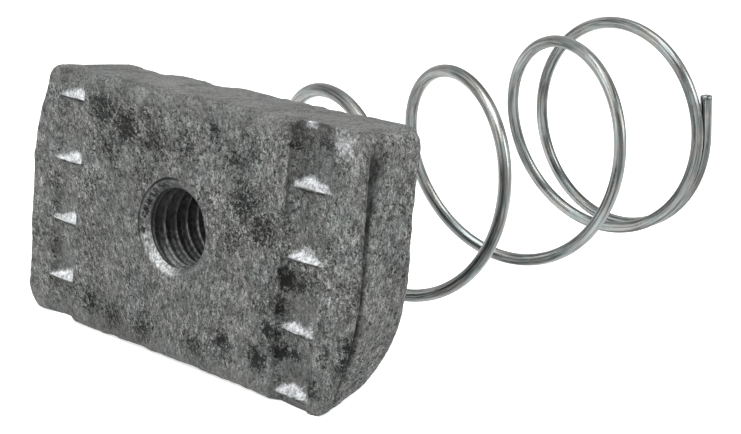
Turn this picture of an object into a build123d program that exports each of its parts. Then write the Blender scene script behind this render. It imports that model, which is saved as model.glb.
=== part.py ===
from build123d import *
import os
from math import ceil, cos, pi, radians, sin, sqrt

# Strut spring nut: a toothed, tapped steel nut that turns and locks in a strut channel,
# with a long wire spring on its back that holds it up against the channel's lips.
# Millimetres. X runs along the nut, Z runs along the channel, and Y is the hole's axis.
# The toothed face looks towards -Y and the spring stands out towards +Y, at its free length.
# The shapes are drawn with the toothed face at Y = 0, and at the end they are moved so
# that the origin is in the middle of the threaded hole.

# --- nut body ---
NUT_LENGTH = 35.0
NUT_WIDTH = 20.0
NUT_THICKNESS = 6.0
TURN_CUT_FRONT = 2.0  # two corners turn past the channel's sides, and their arcs are cut
TURN_CUT_BACK = 4.0  # this far back where they meet the long side, furthest at the back
TURN_BLEND = 1.5  # small round where such an arc meets the long side
LEAD_CORNER_RADIUS = 1.3  # the upper sheared corner, on +X
TRAIL_CORNER_RADIUS = 2.0  # the lower sheared corner, on -X
FRONT_ROUND = 0.9  # tumbled edge round the toothed face
BACK_ROUND = 0.25  # tumbled edge round the back

# --- lip grooves: a lowered band, then a sloping strip, at each end of the face ---
LAND_HALF = 10.85  # from the hole's axis to the end of the central land
GROOVE_WIDTH = 3.75
GROOVE_DEPTH = 0.3  # level of the tooth crests below the land
GROOVE_WALL = 0.25  # run of the inner wall's slope
STRIP_STEP = 0.5  # the strip starts this far below the land
STRIP_FALL = 0.2  # and falls this much more by the end of the nut

# --- teeth across the grooves ---
TOOTH_PITCH = 4.85
TOOTH_STEP = 0.3  # drop right below a crest
TOOTH_STEP_RUN = 0.2
TOOTH_DEPTH = 0.7  # deepest line of a scallop, below the crests
TOOTH_RAMP = 1.0  # height of the steep curve that climbs to the next crest
TOOTH_FLANK = 0.9  # slope at the outer end of each scallop
LEFT_CREST_Z = 7.8  # one crest on the -X side
RIGHT_CREST_Z = 5.2  # and one on the +X side

# --- crease round each end of the nut, behind the strip ---
CREASE_FRONT = 1.0
CREASE_WIDTH = 0.45
CREASE_DEPTH = 0.25
CREASE_MARGIN = 1.2  # from the groove's outer edge to where the crease runs out

# --- threaded hole, cut at the thread's inner diameter ---
BORE_RADIUS = 3.0
FRONT_SINK_RADIUS = 3.55
BACK_SINK_RADIUS = 3.1

# --- spring ---
WIRE_DIAMETER = 1.1
COIL_RADIUS = 9.35  # to the middle of the wire, where it sits on the nut
COIL_WAIST = 1.3  # the radius shrinks by this much over REACH
COIL_FLARE = 1.45  # and grows again by this much, with the square of the distance
REACH = 40.0
SEAT_TURNS = 0.55  # the start of the first turn lies flat on the nut
LIFT_TURNS = 0.85  # over which the pitch grows
OPEN_PITCH = 14.65
CLOSE_START = 3.72  # turns from the wire's start to where the pitch falls again
CLOSE_TURNS = 0.75
CLOSED_PITCH = 1.2
COIL_TURNS = 5.36
START_ANGLE = 215.0  # degrees from +Z towards +X; the coil winds the other way round
AXIS_LEAN_X = 4.2  # the free spring wanders off the hole's axis over REACH
AXIS_BEND_X = -0.65
AXIS_LEAN_Z = 0.45
AXIS_BEND_Z = 2.95
COIL_TILT_X = 1.35  # the open turns tip back by this much on their -X and -Z sides
COIL_TILT_Z = 1.35
TILT_START = 1.0  # turns from the wire's start to where the tip begins to grow
TILT_TURNS = 1.0
END_STUB = 3.5  # straight wire at the free end
POINTS_PER_TURN = 14

# --- claws struck up from the back and closed over the seated turn ---
CLAW_COUNT = 3
CLAW_FIRST = 0.08  # turns from the wire's start
CLAW_STEP = 0.2
CLAW_ARC = 22.0  # degrees
CLAW_ROOT = 1.1  # radial width of the root beside the wire
CLAW_COVER = 0.45  # metal over the wire
CLAW_LIP = 0.2  # how far past the wire's middle the claw reaches
CLAW_SINK = 0.3  # root below the back face
CLEARANCE = 0.03

# worked out from the sizes above
HALF_LENGTH = NUT_LENGTH / 2
HALF_WIDTH = NUT_WIDTH / 2
GROOVE_OUTER = LAND_HALF + GROOVE_WIDTH
WIRE_RADIUS = WIRE_DIAMETER / 2
SEAT_Y = NUT_THICKNESS + CLEARANCE + WIRE_RADIUS
OVER = 2.0  # how far cutters run past what they cut


def slab(face, start, thickness):
    """Solid along the hole's axis from a face drawn with X across and Z up."""
    return extrude(Plane.XZ.offset(-start) * face, thickness, dir=(0, 1, 0))


def bar_outline():
    """The bar cut to length: its long sides stay flat, and two of its corners are tight."""
    face = Rectangle(NUT_LENGTH, NUT_WIDTH)
    lead = face.vertices().sort_by_distance((HALF_LENGTH, HALF_WIDTH))[0]
    face = fillet(lead, LEAD_CORNER_RADIUS)
    trail = face.vertices().sort_by_distance((-HALF_LENGTH, -HALF_WIDTH))[0]
    return fillet(trail, TRAIL_CORNER_RADIUS)


def turn_waste(depth):
    """What the arc cuts off the turning corner on +X, this far behind the front."""
    cut = TURN_CUT_FRONT + (TURN_CUT_BACK - TURN_CUT_FRONT) * depth / NUT_THICKNESS
    turn_x = HALF_LENGTH - cut
    arc = TangentArc((HALF_LENGTH, 0), (turn_x, -HALF_WIDTH), tangent=(0, -1))
    around = Polyline(
        (turn_x, -HALF_WIDTH),
        (turn_x, -HALF_WIDTH - OVER),
        (HALF_LENGTH + OVER, -HALF_WIDTH - OVER),
        (HALF_LENGTH + OVER, 0),
        (HALF_LENGTH, 0),
    )
    return make_face([arc, around])


def nut_blank():
    """The sheared blank, its turning corners ruled from front to back, its edges tumbled round."""
    blank = slab(bar_outline(), 0, NUT_THICKNESS)
    sections = [Plane.XZ.offset(-depth) * turn_waste(depth) for depth in (0, NUT_THICKNESS)]
    corner = loft(sections, ruled=True)
    blank -= [corner, Rot(0, 180, 0) * corner]
    turn_x = HALF_LENGTH - (TURN_CUT_FRONT + TURN_CUT_BACK) / 2
    for x, z in ((turn_x, -HALF_WIDTH), (-turn_x, HALF_WIDTH)):
        edge = blank.edges().sort_by_distance((x, NUT_THICKNESS / 2, z))[0]
        blank = fillet(edge, TURN_BLEND)
    blank = fillet(blank.faces().sort_by(Axis.Y)[0].edges(), FRONT_ROUND)
    return fillet(blank.faces().sort_by(Axis.Y)[-1].edges(), BACK_ROUND)


def groove_cutter():
    """What is lowered beyond the land on the +X side: crest level, then the strip."""
    far_x = HALF_LENGTH + OVER
    fall = STRIP_FALL * (far_x - GROOVE_OUTER) / (HALF_LENGTH - GROOVE_OUTER)
    profile = Polyline(
        (LAND_HALF, -OVER),
        (LAND_HALF, 0),
        (LAND_HALF + GROOVE_WALL, GROOVE_DEPTH),
        (GROOVE_OUTER, STRIP_STEP),
        (far_x, STRIP_STEP + fall),
        (far_x, -OVER),
        close=True,
    )
    return extrude(make_face(profile), HALF_WIDTH + OVER, both=True)


def tooth_cutter():
    """One scallop on the +X side, hanging below a crest at Z = 0."""
    deepest = GROOVE_DEPTH + TOOTH_DEPTH
    crest = (GROOVE_DEPTH, 0)
    step = (GROOVE_DEPTH + TOOTH_STEP, -TOOTH_STEP_RUN)
    bottom = (deepest, TOOTH_RAMP - TOOTH_PITCH)
    next_crest = (GROOVE_DEPTH, -TOOTH_PITCH)
    side = make_face(
        [
            Polyline((0, 0), crest, step),
            TangentArc(bottom, step, tangent=(0, 1)),
            TangentArc(bottom, next_crest, tangent=(0, -1)),
            Polyline(next_crest, (0, -TOOTH_PITCH), (0, 0)),
        ]
    )
    inner_x = LAND_HALF + GROOVE_WALL
    across = Polyline(
        (inner_x, 0),
        (inner_x, GROOVE_DEPTH),
        (inner_x + GROOVE_WALL, deepest),
        (GROOVE_OUTER - TOOTH_FLANK, deepest),
        (GROOVE_OUTER, GROOVE_DEPTH),
        (GROOVE_OUTER, 0),
        close=True,
    )
    long_cut = extrude(Plane.YZ * side, HALF_LENGTH)
    return long_cut & extrude(make_face(across), TOOTH_PITCH + OVER, both=True)


def tooth_row(crest_z):
    """Scallops from edge to edge, in step with one crest."""
    first = crest_z + TOOTH_PITCH * ceil((HALF_WIDTH - crest_z) / TOOTH_PITCH)
    count = ceil((first + HALF_WIDTH) / TOOTH_PITCH)
    cutter = tooth_cutter()
    return [Pos(0, 0, first - i * TOOTH_PITCH) * cutter for i in range(count)]


def end_crease():
    """Shallow groove round both ends of the nut."""
    waste = turn_waste(CREASE_FRONT)
    outline = bar_outline() - [waste, Rot(0, 0, 180) * waste]
    ring = slab(offset(outline, OVER), CREASE_FRONT, CREASE_WIDTH)
    ring -= slab(offset(outline, -CREASE_DEPTH), CREASE_FRONT, CREASE_WIDTH)
    middle = 2 * (GROOVE_OUTER + CREASE_MARGIN)
    return ring - Box(middle, 4 * NUT_THICKNESS, 2 * NUT_WIDTH)


def hole_cutter():
    """The bore and both countersinks, at 45 degrees."""
    front_bore_y = FRONT_SINK_RADIUS - BORE_RADIUS
    back_bore_y = NUT_THICKNESS - BACK_SINK_RADIUS + BORE_RADIUS
    section = Polyline(
        (0, -OVER),
        (FRONT_SINK_RADIUS + OVER, -OVER),
        (BORE_RADIUS, front_bore_y),
        (BORE_RADIUS, back_bore_y),
        (BACK_SINK_RADIUS + OVER, NUT_THICKNESS + OVER),
        (0, NUT_THICKNESS + OVER),
        close=True,
    )
    return revolve(make_face(section), Axis.Y)


def claws():
    """Lugs on the inner side of the seated turn, bent over the wire."""
    top = SEAT_Y + WIRE_RADIUS + CLEARANCE + CLAW_COVER
    root_x = COIL_RADIUS - WIRE_RADIUS - CLAW_ROOT
    lip_x = COIL_RADIUS + CLAW_LIP
    section = Polyline(
        (root_x, NUT_THICKNESS - CLAW_SINK),
        (root_x + CLAW_ROOT / 2, SEAT_Y),
        (COIL_RADIUS - WIRE_RADIUS, top),
        (lip_x, top - CLAW_COVER / 2),
        (lip_x, SEAT_Y),
        (COIL_RADIUS - WIRE_RADIUS, NUT_THICKNESS - CLAW_SINK),
        close=True,
    )
    wire_room = Pos(COIL_RADIUS, SEAT_Y) * Circle(WIRE_RADIUS + CLEARANCE)
    room_below = Pos(COIL_RADIUS + OVER / 2, SEAT_Y) * Rectangle(OVER, 2 * WIRE_RADIUS + 2 * CLEARANCE)
    claw = revolve(make_face(section) - wire_room - room_below, Axis.Y, CLAW_ARC)
    turns = [CLAW_FIRST + i * CLAW_STEP for i in range(CLAW_COUNT)]
    return [Rot(0, START_ANGLE - 360 * turn - 90 - CLAW_ARC / 2, 0) * claw for turn in turns]


def channel_nut():
    """The nut: one piece of steel, sheared from bar, struck, drilled and tapped."""
    right_groove = groove_cutter()
    left_teeth = [mirror(cutter, Plane.YZ) for cutter in tooth_row(LEFT_CREST_Z)]
    body = nut_blank()
    body -= [right_groove, mirror(right_groove, Plane.YZ)]
    body -= tooth_row(RIGHT_CREST_Z) + left_teeth
    body -= end_crease()
    body -= hole_cutter()
    return body + claws()


def ease(share):
    """Smooth step from 0 to 1."""
    share = min(max(share, 0), 1)
    return share * share * (3 - 2 * share)


def eased_run(turns, width):
    """How far something has gone whose speed has eased from 0 to 1 over a width."""
    share = min(max(turns / width, 0), 1)
    return width * (share**3 - share**4 / 2) + max(turns - width, 0)


def coil_point(turn):
    """Middle of the wire, this many turns from its start."""
    rise = OPEN_PITCH * eased_run(turn - SEAT_TURNS, LIFT_TURNS)
    rise -= (OPEN_PITCH - CLOSED_PITCH) * eased_run(turn - CLOSE_START, CLOSE_TURNS)
    reach = rise / REACH
    radius = COIL_RADIUS - COIL_WAIST * reach + COIL_FLARE * reach**2
    angle = radians(START_ANGLE) - 2 * pi * turn
    tip = COIL_TILT_X * sin(angle) + COIL_TILT_Z * cos(angle)
    return Vector(
        AXIS_LEAN_X * reach + AXIS_BEND_X * reach**2 + radius * sin(angle),
        SEAT_Y + rise - tip * ease((turn - TILT_START) / TILT_TURNS),
        AXIS_LEAN_Z * reach + AXIS_BEND_Z * reach**2 + radius * cos(angle),
    )


def spring():
    """The spring: round wire, wound left-handed, seated on the nut and closed at its tip."""
    steps = ceil(COIL_TURNS * POINTS_PER_TURN)
    points = [coil_point(COIL_TURNS * i / steps) for i in range(steps + 1)]
    path = Spline(*points)
    stub = Line(path @ 1, path @ 1 + END_STUB * (path % 1))
    section = Plane(origin=path @ 0, z_dir=path % 0) * Circle(WIRE_RADIUS)
    return sweep(section, path=Wire([path, stub]))


PIECES = {"channel_nut": channel_nut, "spring": spring}

os.makedirs("parts", exist_ok=True)
for name, build in PIECES.items():
    export_step(Pos(0, -NUT_THICKNESS / 2, 0) * build(), f"parts/{name}.step")
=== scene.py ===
import math

import bmesh
import bpy
import numpy as np
from bpy.props import FloatProperty, FloatVectorProperty, IntProperty, PointerProperty
from mathutils import Matrix, Vector


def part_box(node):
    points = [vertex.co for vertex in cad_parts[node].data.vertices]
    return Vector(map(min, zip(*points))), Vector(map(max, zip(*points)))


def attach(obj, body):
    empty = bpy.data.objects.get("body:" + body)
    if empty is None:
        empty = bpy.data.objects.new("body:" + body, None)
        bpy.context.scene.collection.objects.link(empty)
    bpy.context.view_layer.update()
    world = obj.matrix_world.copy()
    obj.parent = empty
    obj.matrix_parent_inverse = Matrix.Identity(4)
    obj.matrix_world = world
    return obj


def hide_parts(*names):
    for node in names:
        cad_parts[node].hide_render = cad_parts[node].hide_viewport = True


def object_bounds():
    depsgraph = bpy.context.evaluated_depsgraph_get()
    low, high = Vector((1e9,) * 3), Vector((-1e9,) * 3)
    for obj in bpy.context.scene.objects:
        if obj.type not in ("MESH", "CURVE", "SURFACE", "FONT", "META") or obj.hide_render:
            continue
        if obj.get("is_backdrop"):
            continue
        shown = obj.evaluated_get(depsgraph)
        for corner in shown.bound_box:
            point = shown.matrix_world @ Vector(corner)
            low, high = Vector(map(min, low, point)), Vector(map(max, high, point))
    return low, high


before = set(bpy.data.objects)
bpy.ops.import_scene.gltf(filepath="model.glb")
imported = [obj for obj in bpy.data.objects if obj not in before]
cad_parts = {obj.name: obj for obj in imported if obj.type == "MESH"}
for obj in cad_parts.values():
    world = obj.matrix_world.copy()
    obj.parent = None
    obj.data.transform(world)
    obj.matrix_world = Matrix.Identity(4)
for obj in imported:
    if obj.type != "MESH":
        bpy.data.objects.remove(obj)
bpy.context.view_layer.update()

bl_info = {
    "name": "Strut Spring Nut",
    "version": (1, 0, 0),
    "blender": (4, 5, 0),
    "location": "3D View > Sidebar > Strut Nut",
    "description": "Toothed galvanised channel nut with a long wire spring on its back",
    "category": "Object",
}

MM = 0.001
NUT_LOW, NUT_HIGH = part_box("channel_nut")

# levels below the face: the crests, the strip beside the teeth, and its outer end
CREST_LEVEL = 0.3 * MM
STRIP_LEVEL = 0.5 * MM
END_LEVEL = 0.7 * MM
# how far a scallop drops just below its crest, and over what distance
TOOTH_STEP = 0.28 * MM
STEP_RUN = 0.22 * MM
# least and most of the full depth to which single teeth are struck
UNEVEN = (0.72, 1.08)

# share of a groove's width at which the bright mounds are highest
MOUND_PEAK = 0.34

# share of the solid wire's thickness that the drawn wire has
HAIR_THINNER = 0.994

# heights of the struck crests on each side, with one past each end, in millimetres
LEFT_CRESTS = (12.5, 7.65, 2.65, -2.2, -6.9, -11.7)
RIGHT_CRESTS = (14.9, 10.0, 5.4, 0.4, -4.7, -9.3, -14.2)

# dark clusters of the coating: place on the nut and radius in millimetres, then how black they are
BLOTCHES = (
    (-8.3, -3.0, 7.6, 1.8, 0.78),
    (-5.6, -3.0, 6.6, 1.7, 0.84),
    (-2.4, -3.0, 6.0, 1.8, 0.62),
    (0.9, -3.0, 6.4, 1.5, 0.6),
    (-7.4, -3.0, 4.6, 1.4, 0.62),
    (-3.4, -3.0, 3.6, 1.2, 0.5),
    (3.7, -3.0, 7.9, 1.0, 0.6),
    (5.9, -3.0, 6.2, 1.4, 0.5),
    (11.5, -2.5, 9.0, 1.5, 0.75),
    (13.7, -2.5, 8.6, 1.0, 0.65),
    (7.2, -3.0, 3.4, 1.7, 0.72),
    (8.9, -3.0, 1.9, 1.5, 0.75),
    (6.3, -3.0, 0.6, 1.2, 0.5),
    (11.2, -2.4, -1.1, 1.0, 1.0),
    (12.3, -2.4, -1.5, 0.7, 0.85),
    (10.9, -2.4, -3.3, 0.7, 0.8),
    (10.2, -3.0, -5.1, 1.0, 0.75),
    (9.2, -3.0, -7.2, 0.9, 0.95),
    (11.0, -2.4, -6.5, 0.65, 1.0),
    (12.1, -2.4, -6.5, 0.7, 1.0),
    (14.1, -2.3, -8.2, 0.8, 0.8),
    (17.0, -2.3, -4.6, 0.75, 0.9),
    (17.0, -2.3, -5.9, 0.75, 0.9),
    (5.8, -3.0, -6.9, 0.9, 0.8),
    (3.0, -3.0, -8.2, 1.5, 0.6),
    (-2.8, -3.0, -8.4, 1.7, 0.66),
    (-6.2, -3.0, -8.2, 1.5, 0.7),
    (-8.9, -3.0, -7.6, 1.3, 0.75),
    (17.5, 1.5, 1.0, 1.4, 0.45),
    (16.6, 0.5, -7.6, 1.6, 0.55),
)

# places rubbed bright, in the same way
BURNISHED = (
    (15.4, -2.4, 8.9, 1.3, 0.62),
    (12.4, -2.6, 9.9, 0.8, 0.75),
    (16.4, -2.4, 7.6, 1.0, 0.42),
    (15.3, -2.4, -1.6, 1.1, 0.4),
    (13.6, -2.3, -4.2, 1.2, 0.45),
)

# point attributes that steer the nut's finish, among them painted shade and painted highlight
NUT_MASKS = ("bare", "struck", "painted_shade", "worn_and_shaded", "blotch")
FLOAT, VECTOR, COLOUR = "NodeSocketFloat", "NodeSocketVector", "NodeSocketColor"


def length(label, words, millimetres):
    """A property that holds a length, given here in millimetres."""
    return FloatProperty(name=label, description=words, default=millimetres * MM, unit="LENGTH", precision=5)


def share(label, words, value):
    """A property that holds a share or a plain number."""
    return FloatProperty(name=label, description=words, default=value, precision=3)


def angle(label, words, degrees):
    """A property that holds an angle, given here in degrees."""
    return FloatProperty(name=label, description=words, default=math.radians(degrees), subtype="ANGLE")


def power(label, words, watts):
    """A property that holds the power of a lamp."""
    return FloatProperty(name=label, description=words, default=watts, unit="POWER")


def colour(label, words, value):
    """A property that holds a colour."""
    return FloatVectorProperty(name=label, description=words, default=value, subtype="COLOR", min=0, max=1)


class NutSizes(bpy.types.PropertyGroup):
    """Sizes of the nut."""

    length: length("Length", "Across the channel", (NUT_HIGH.x - NUT_LOW.x) / MM)
    width: length("Width", "Along the channel", (NUT_HIGH.z - NUT_LOW.z) / MM)
    thickness: length("Thickness", "From the toothed face to the back", 6.0)
    turn_cut_front: length("Turning cut", "How far the two round corners are cut back at the face", 2.0)
    turn_cut_back: length("Turning cut behind", "The same at the back", 4.0)
    lead_corner: length("Upper corner", "Radius of the upper sheared corner", 1.3)
    trail_corner: length("Lower corner", "Radius of the lower sheared corner", 2.0)
    turn_blend: length("Turning blend", "Where a round corner meets the long side", 1.1)
    front_round: length("Front edge", "Mean radius of the tumbled front edge", 0.8)
    back_round: length("Back edge", "Radius of the tumbled back edge", 0.25)
    land_half: length("Land", "From the hole's axis to the end of the land", 10.85)
    groove_width: length("Groove width", "Of each toothed band", 3.75)
    tooth_depth: length("Tooth depth", "Deepest line of a scallop below the face", 1.0)
    tooth_ramp: length("Tooth ramp", "Height of the steep curve above each crest", 1.05)
    mound: length("Burnished mound", "Height of the bright metal above each crest", 1.0)
    lean: share("Groove lean", "Sideways run of the grooves for each unit of height", 0.027)
    bore: length("Bore", "Inner radius of the thread", 3.0)
    front_sink: length("Countersink", "Radius at the toothed face", 3.55)
    back_sink: length("Back countersink", "Radius at the back", 3.1)
    thread_pitch: length("Thread pitch", "From crest to crest", 1.1)
    thread_depth: length("Thread depth", "From crest to root", 0.58)
    thread_start: share("Thread start", "Share of a turn by which the thread is turned", 0.33)
    crease_depth: length("Crease", "Depth of the crease round each end", 0.3)
    wave: length("Waviness", "Height of the slow waves left by rolling and shearing", 0.055)
    dent: length("Dents", "Height of the small dents in the coating", 0.02)


class SpringSizes(bpy.types.PropertyGroup):
    """Sizes of the spring, the same as the solid's."""

    wire: length("Wire", "Diameter of the wire", 1.1)
    radius: length("Coil radius", "To the middle of the wire, on the nut", 9.35)
    waist: length("Waist", "How much the radius shrinks over the reach", 1.3)
    flare: length("Flare", "How much it grows again", 1.45)
    reach: length("Reach", "Distance that the waist and lean refer to", 40.0)
    seat_turns: share("Seated turns", "Turns that lie flat on the nut", 0.55)
    lift_turns: share("Lifting turns", "Turns over which the pitch grows", 0.85)
    pitch: length("Open pitch", "Pitch of the open turns", 14.65)
    close_start: share("Closing starts", "Turns from the start of the wire", 3.72)
    close_turns: share("Closing turns", "Turns over which the pitch falls", 0.75)
    closed_pitch: length("Closed pitch", "Pitch of the last turn", 1.2)
    turns: share("Turns", "Turns in all", 5.36)
    start: angle("Start angle", "Where the wire starts", 215)
    lean_x: length("Lean across", "How far the free spring leans", 4.2)
    bend_x: length("Bend across", "How far it bends", -0.65)
    lean_z: length("Lean up", "How far the free spring leans", 0.45)
    bend_z: length("Bend up", "How far it bends", 2.95)
    tilt: length("Tilt", "How far the open turns tip back", 1.35)
    tilt_start: share("Tilt starts", "Turns from the start of the wire", 1.0)
    stub: length("End stub", "Straight wire at the free end", 3.5)
    gap: length("Seat gap", "Between the wire and the nut", 0.03)
    around: IntProperty(name="Sides", description="Faces round the wire", default=28)


class Finishes(bpy.types.PropertyGroup):
    """Colours of the metals."""

    zinc: colour("Galvanised grey", "Mean colour of the weathered zinc", (0.124, 0.127, 0.124))
    # also the colour of the painted shade in corners, creases and round the hole
    zinc_dark_and_shade: colour("Dark spots", "Colour of pits and blotches", (0.004, 0.0045, 0.004))
    bare: colour("Cut steel", "Colour of the countersink and thread", (0.2, 0.205, 0.205))
    # also the colour of the painted highlights on the teeth
    struck: colour("Struck zinc", "Colour of the burnished ramps", (0.56, 0.575, 0.59))
    wire: colour("Bright zinc", "Colour of the plated wire", (0.29, 0.298, 0.302))
    # also paints dark reflections along the wire
    wire_streak_and_reflection: colour("Wire streaks", "Colour of the dull drawing lines", (0.022, 0.024, 0.024))


class StudioValues(bpy.types.PropertyGroup):
    """Camera and lamps."""

    azimuth: angle("Azimuth", "Camera to the right of the face", 40.0)
    elevation: angle("Elevation", "Camera above the hole's axis", 12.9)
    roll: angle("Roll", "Camera's roll", 4.66)
    distance: length("Distance", "From the camera to its target", 96.3)
    target: FloatVectorProperty(
        name="Target",
        description="Point in the middle of the view",
        default=(18.59 * MM, -3 * MM, 4.85 * MM),
        unit="LENGTH",
    )
    lens: FloatProperty(name="Lens", description="Focal length", default=73.17, unit="CAMERA")
    key: power("Key lamp", "Power of the lamp overhead", 1.5)
    fill: power("Fill lamp", "Power of the lamp in front", 0.8)
    rim: power("Rim lamp", "Power of the lamp behind on the right", 0.9)
    ambient: share("Ambient", "Strength of the room's light on the object", 0.42)


def smooth(value):
    """Smooth step: three times the square less twice the cube of a value held between 0 and 1."""
    value = np.clip(value, 0, 1)
    return value * value * (3 - 2 * value)


def rising(value, start, run):
    """Smooth step of a length from a start over a run, both in millimetres."""
    return smooth((value - start * MM) / (run * MM))


def bell(value):
    """Bell curve: e to minus the square of a value."""
    return np.exp(-(value**2))


def unit(rows):
    """Rows of vectors scaled to length 1."""
    return rows / np.linalg.norm(rows, axis=1, keepdims=True)


def soft_min(first, second, width):
    """Smaller value with a rounded corner: minus width times the log of the sum of both exponentials."""
    return -width * np.logaddexp(-first / width, -second / width)


def soft_max(first, second):
    """Larger depth with a rounded corner: the fourth root of the sum of fourth powers."""
    return (np.maximum(first, 0) ** 4 + np.maximum(second, 0) ** 4) ** 0.25


def ripple(points, wavelength, seed, waves=36):
    """Random smooth height with unit spread: a sum of sines along random headings near one wavelength."""
    rng = np.random.default_rng(seed)
    heading = rng.normal(size=(3, waves))
    heading /= np.linalg.norm(heading, axis=0)
    pace = 2 * np.pi / wavelength * rng.uniform(0.6, 1.7, waves)
    return np.sin(points @ (heading * pace) + rng.uniform(0, 2 * np.pi, waves)).sum(-1) / math.sqrt(waves / 2)


def runs(stops, cells):
    """Values from stop to stop, each run cut into its own number of even cells."""
    parts = [np.linspace(a, b, n, endpoint=False) for a, b, n in zip(stops, stops[1:], cells)]
    return np.concatenate(parts + [np.array(stops[-1:])])


def both_ways(half):
    """The half from 0 outwards, with its mirror image before it."""
    return np.concatenate([-half[:0:-1], half])


def gathered(low, high, count, crests):
    """Values that crowd round the crests: the inverse of the running sum of their density."""
    fine = np.linspace(low, high, 4000)
    density = 1 + 2.2 * bell((fine[:, None] - crests) / (0.4 * MM)).sum(1)
    total = np.concatenate([[0], np.cumsum((density[1:] + density[:-1]) / 2)])
    return np.interp(np.linspace(0, total[-1], count), total, fine)


def below_crest(z, crests):
    """Distance below the nearest higher crest, the gap to the next one, and that crest's number."""
    rising = np.array(crests[::-1]) * MM
    above = np.clip(np.searchsorted(rising, z), 1, len(rising) - 1)
    return rising[above] - z, rising[above] - rising[above - 1], above


def scallop_depth(s, down, gap, uneven):
    """Depth of a scallop: a step, a parabola to its deepest line, then a quarter circle to the next crest."""
    deepest = CREST_LEVEL + (s.tooth_depth - CREST_LEVEL) * uneven
    step = CREST_LEVEL + TOOTH_STEP * uneven
    bottom = gap - s.tooth_ramp
    drop = CREST_LEVEL + (step - CREST_LEVEL) * smooth(down / STEP_RUN)
    dish = deepest - (deepest - step) * np.clip(1 - down / bottom, 0, 1) ** 2
    climb = np.clip((down - bottom) / s.tooth_ramp, 0, 1)
    ramp = (deepest - CREST_LEVEL) * (1 - np.sqrt(1 - 0.98 * climb**2)) / (1 - math.sqrt(0.02))
    return np.where(down < STEP_RUN, drop, dish) - ramp


def groove_masks(s, x, out, tooth):
    """Where a groove is struck bright, partly as painted highlight, takes painted shade in its corners, or is
    worn smooth.

    Bright metal, partly burnished zinc and partly painted highlight, fills a mound over each crest, as high
    as the root of one less the share of the way from its peak to its foot, and a faint painted sheen fades
    upwards. Painted shade lines the inner wall, as a bell curve, and the underside of each crest.
    """
    down, gap, uneven = tooth
    past_wall = out - s.land_half
    inside = rising(past_wall, 0.3, 0.25) * rising(s.groove_width - past_wall, 0.35, 0.5)
    beyond = past_wall / s.groove_width - MOUND_PEAK
    slope = np.where(beyond < 0, -beyond / 0.36, beyond / 0.66)
    size = (0.75 + 0.3 * (uneven - UNEVEN[0]) / (UNEVEN[1] - UNEVEN[0])) * np.where(x < 0, 1.15, 1)
    mound = s.mound * size * np.sqrt(np.clip(1 - slope, 0, 1))
    above = gap - down
    # bright mounds: partly burnished zinc, partly painted highlight; glow is a painted sheen that fades
    # upwards
    struck = smooth((mound - above) / (0.85 * MM) + 0.34) * (mound > 0)
    glow = 0.34 * inside * smooth(1 - above / (2.6 * MM))
    struck = np.maximum(struck, glow) * rising(above, 0, 0.05) * rising(past_wall, 0.2, 0.2)
    # painted shade just under each crest and along the groove's inner wall
    corner = inside * smooth(1.2 - down / (0.24 * MM))
    corner = corner + 0.55 * bell((past_wall - 0.06 * MM) / (0.08 * MM))
    worn_and_shaded = 0.75 * inside * smooth((down / gap - 0.3) / 0.3)
    return struck, np.clip(corner, 0, 1), worn_and_shaded


def groove_depth(s, x, z):
    """Depth of the lowered bands below the face, with the masks for their finish, painted shade and highlight
    among them.

    Across the nut the depth follows straight lines from the land to the crest level, the strip and its
    outer end. The scallops are the softer minimum of their own depth and of their sloping ends. The bands
    lean sideways by a share of the height, which fades out away from them. Each tooth is struck to its own
    random share of the full depth.
    """
    lean_x = x - s.lean * z * smooth((14 * MM - abs(abs(x) - 12.5 * MM)) / (4 * MM))
    out, land = abs(lean_x), s.land_half
    outer, full = land + s.groove_width, s.tooth_depth * 1.1
    stops = [land, land + 0.25 * MM, outer, s.length / 2]
    floor = np.interp(out, stops, [0, CREST_LEVEL, STRIP_LEVEL, END_LEVEL])
    stops = [land + 0.15 * MM, land + 0.95 * MM, outer - 1.0 * MM, outer]
    ends = np.interp(out, stops, [CREST_LEVEL, full, full, CREST_LEVEL])
    left, right = below_crest(z, LEFT_CRESTS), below_crest(z, RIGHT_CRESTS)
    down, gap, number = (np.where(x < 0, a, b) for a, b in zip(left, right))
    tooth = down, gap, np.random.default_rng(7).uniform(*UNEVEN, 16)[number + 7 * (x < 0)]
    cut = soft_min(scallop_depth(s, *tooth), ends, 0.03 * MM)
    depth = np.where(out > land + 0.1 * MM, np.maximum(floor, cut), floor)
    return depth, *groove_masks(s, x, out, tooth)


def outline_place(s, x, z, edge, cut):
    """Move a point of the rectangle to the nut's outline.

    In each corner the larger offset from the corner's centre becomes the distance from it, which turns the
    square into a quarter disc. Then each turning corner is bent to its arc, whose radius is half the cut
    plus the square of the nut's half width over twice the cut. Its edge band keeps its true width, and
    what lies between the land and that band is squeezed.
    """
    half, side = s.length / 2, s.width / 2
    turning = x * z < 0
    radius = np.where(turning, s.turn_blend, np.where(x > 0, s.lead_corner, s.trail_corner))
    a, b = abs(x) - half + radius, abs(z) - side + radius
    corner = (a > 0) & (b > 0)
    scale = np.where(corner, np.maximum(a, b) / np.maximum(np.hypot(a, b), 1e-9), 1)
    x = np.where(corner, np.sign(x) * (half - radius + a * scale), x)
    z = np.where(corner, np.sign(z) * (side - radius + b * scale), z)
    radius = cut / 2 + side**2 / (2 * cut)
    rise = np.sqrt(radius**2 - z**2)
    reach = half - radius + rise
    slant = radius / rise
    inset = half - abs(x)
    span = half - s.land_half
    kept = reach - edge * slant
    squeezed = s.land_half + (span - inset) / (span - edge) * (kept - s.land_half)
    moved = np.where(inset < edge, reach - inset * slant, squeezed)
    return np.where(turning & (inset < span), np.sign(x) * moved, x), z


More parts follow.
